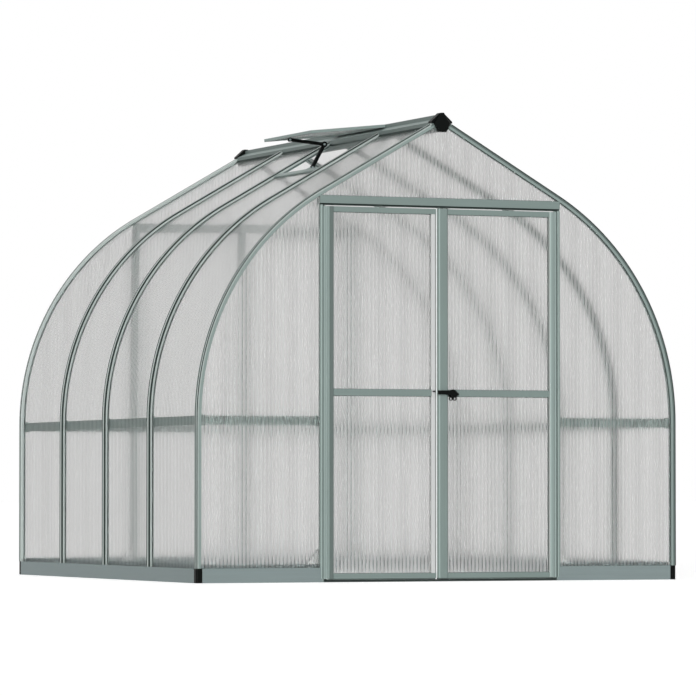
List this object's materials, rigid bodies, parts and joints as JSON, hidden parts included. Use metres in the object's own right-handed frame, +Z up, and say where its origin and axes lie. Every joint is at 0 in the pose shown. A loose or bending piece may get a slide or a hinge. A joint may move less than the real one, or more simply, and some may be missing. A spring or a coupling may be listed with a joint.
{
  "type": "bell-shaped greenhouse",
  "caption": "Walk-in greenhouse of bell-shaped aluminium ribs on a steel base, glazed with curved twin-wall sheets, with hinged double doors and an open roof vent.",
  "frame": {"origin": "on the ground at the centre of the plan", "axes": "+X to the right along the front, +Y from the doors to the rear wall, +Z up"},
  "size_m": [2.446, 2.5379, 2.1842],
  "materials": {
    "frame_aluminium": "satin extruded aluminium with a pale grey-green cast",
    "base_steel": "matt grey coated sheet steel",
    "dark_aluminium": "dull dark aluminium",
    "black_plastic": "matt black moulded plastic",
    "twin_wall_sheet": "translucent twin-wall polycarbonate with upright flutes"
  },
  "bodies": {
    "frame": {"base_corners": "black_plastic", "door_header": "frame_aluminium", "door_jambs": "frame_aluminium", "door_threshold": "dark_aluminium", "fourth_rib": "frame_aluminium", "front_base": "base_steel", "front_bay_panels": "twin_wall_sheet", "front_gable_panel": "twin_wall_sheet", "front_mid_rails": "frame_aluminium", "front_rib": "frame_aluminium", "front_side_panels": "twin_wall_sheet", "left_base": "base_steel", "left_mid_rails": "frame_aluminium", "middle_rib": "frame_aluminium", "post_gussets": "base_steel", "rear_base": "base_steel", "rear_bay_panels": "twin_wall_sheet", "rear_center_panel": "twin_wall_sheet", "rear_gable_panel": "twin_wall_sheet", "rear_header": "frame_aluminium", "rear_mid_rails": "frame_aluminium", "rear_posts": "frame_aluminium", "rear_rib": "frame_aluminium", "rear_side_panels": "twin_wall_sheet", "ridge_beam": "frame_aluminium", "ridge_end_caps": "black_plastic", "right_base": "base_steel", "right_mid_rails": "frame_aluminium", "second_bay_panels": "twin_wall_sheet", "second_rib": "frame_aluminium", "third_bay_panels": "twin_wall_sheet", "vent_cross_rails": "frame_aluminium", "vent_pane": "twin_wall_sheet", "vent_side_rails": "frame_aluminium", "vent_sill": "frame_aluminium", "vent_stay": "black_plastic"},
    "left_door": {"left_door_stiles": "frame_aluminium", "left_door_rails": "frame_aluminium", "left_door_panes": "twin_wall_sheet", "latch_keeper": "black_plastic"},
    "right_door": {"right_door_stiles": "frame_aluminium", "right_door_rails": "frame_aluminium", "right_door_panes": "twin_wall_sheet", "latch_body": "black_plastic"},
    "lever": {"latch_lever": "black_plastic"}
  },
  "joints": [
    {"name": "left_door_hinge", "type": "hinge", "parent": "frame", "child": "left_door", "pos_m": [-0.583, -1.25, 0.877], "axis": [0, 0, -1], "range_deg": [0, 150]},
    {"name": "right_door_hinge", "type": "hinge", "parent": "frame", "child": "right_door", "pos_m": [0.583, -1.25, 0.877], "axis": [0, 0, 1], "range_deg": [0, 150]},
    {"name": "latch_turn", "type": "hinge", "parent": "right_door", "child": "lever", "pos_m": [0.0506, -1.27, 0.871], "axis": [0, -1, 0], "range_deg": [0, 90]}
  ]
}
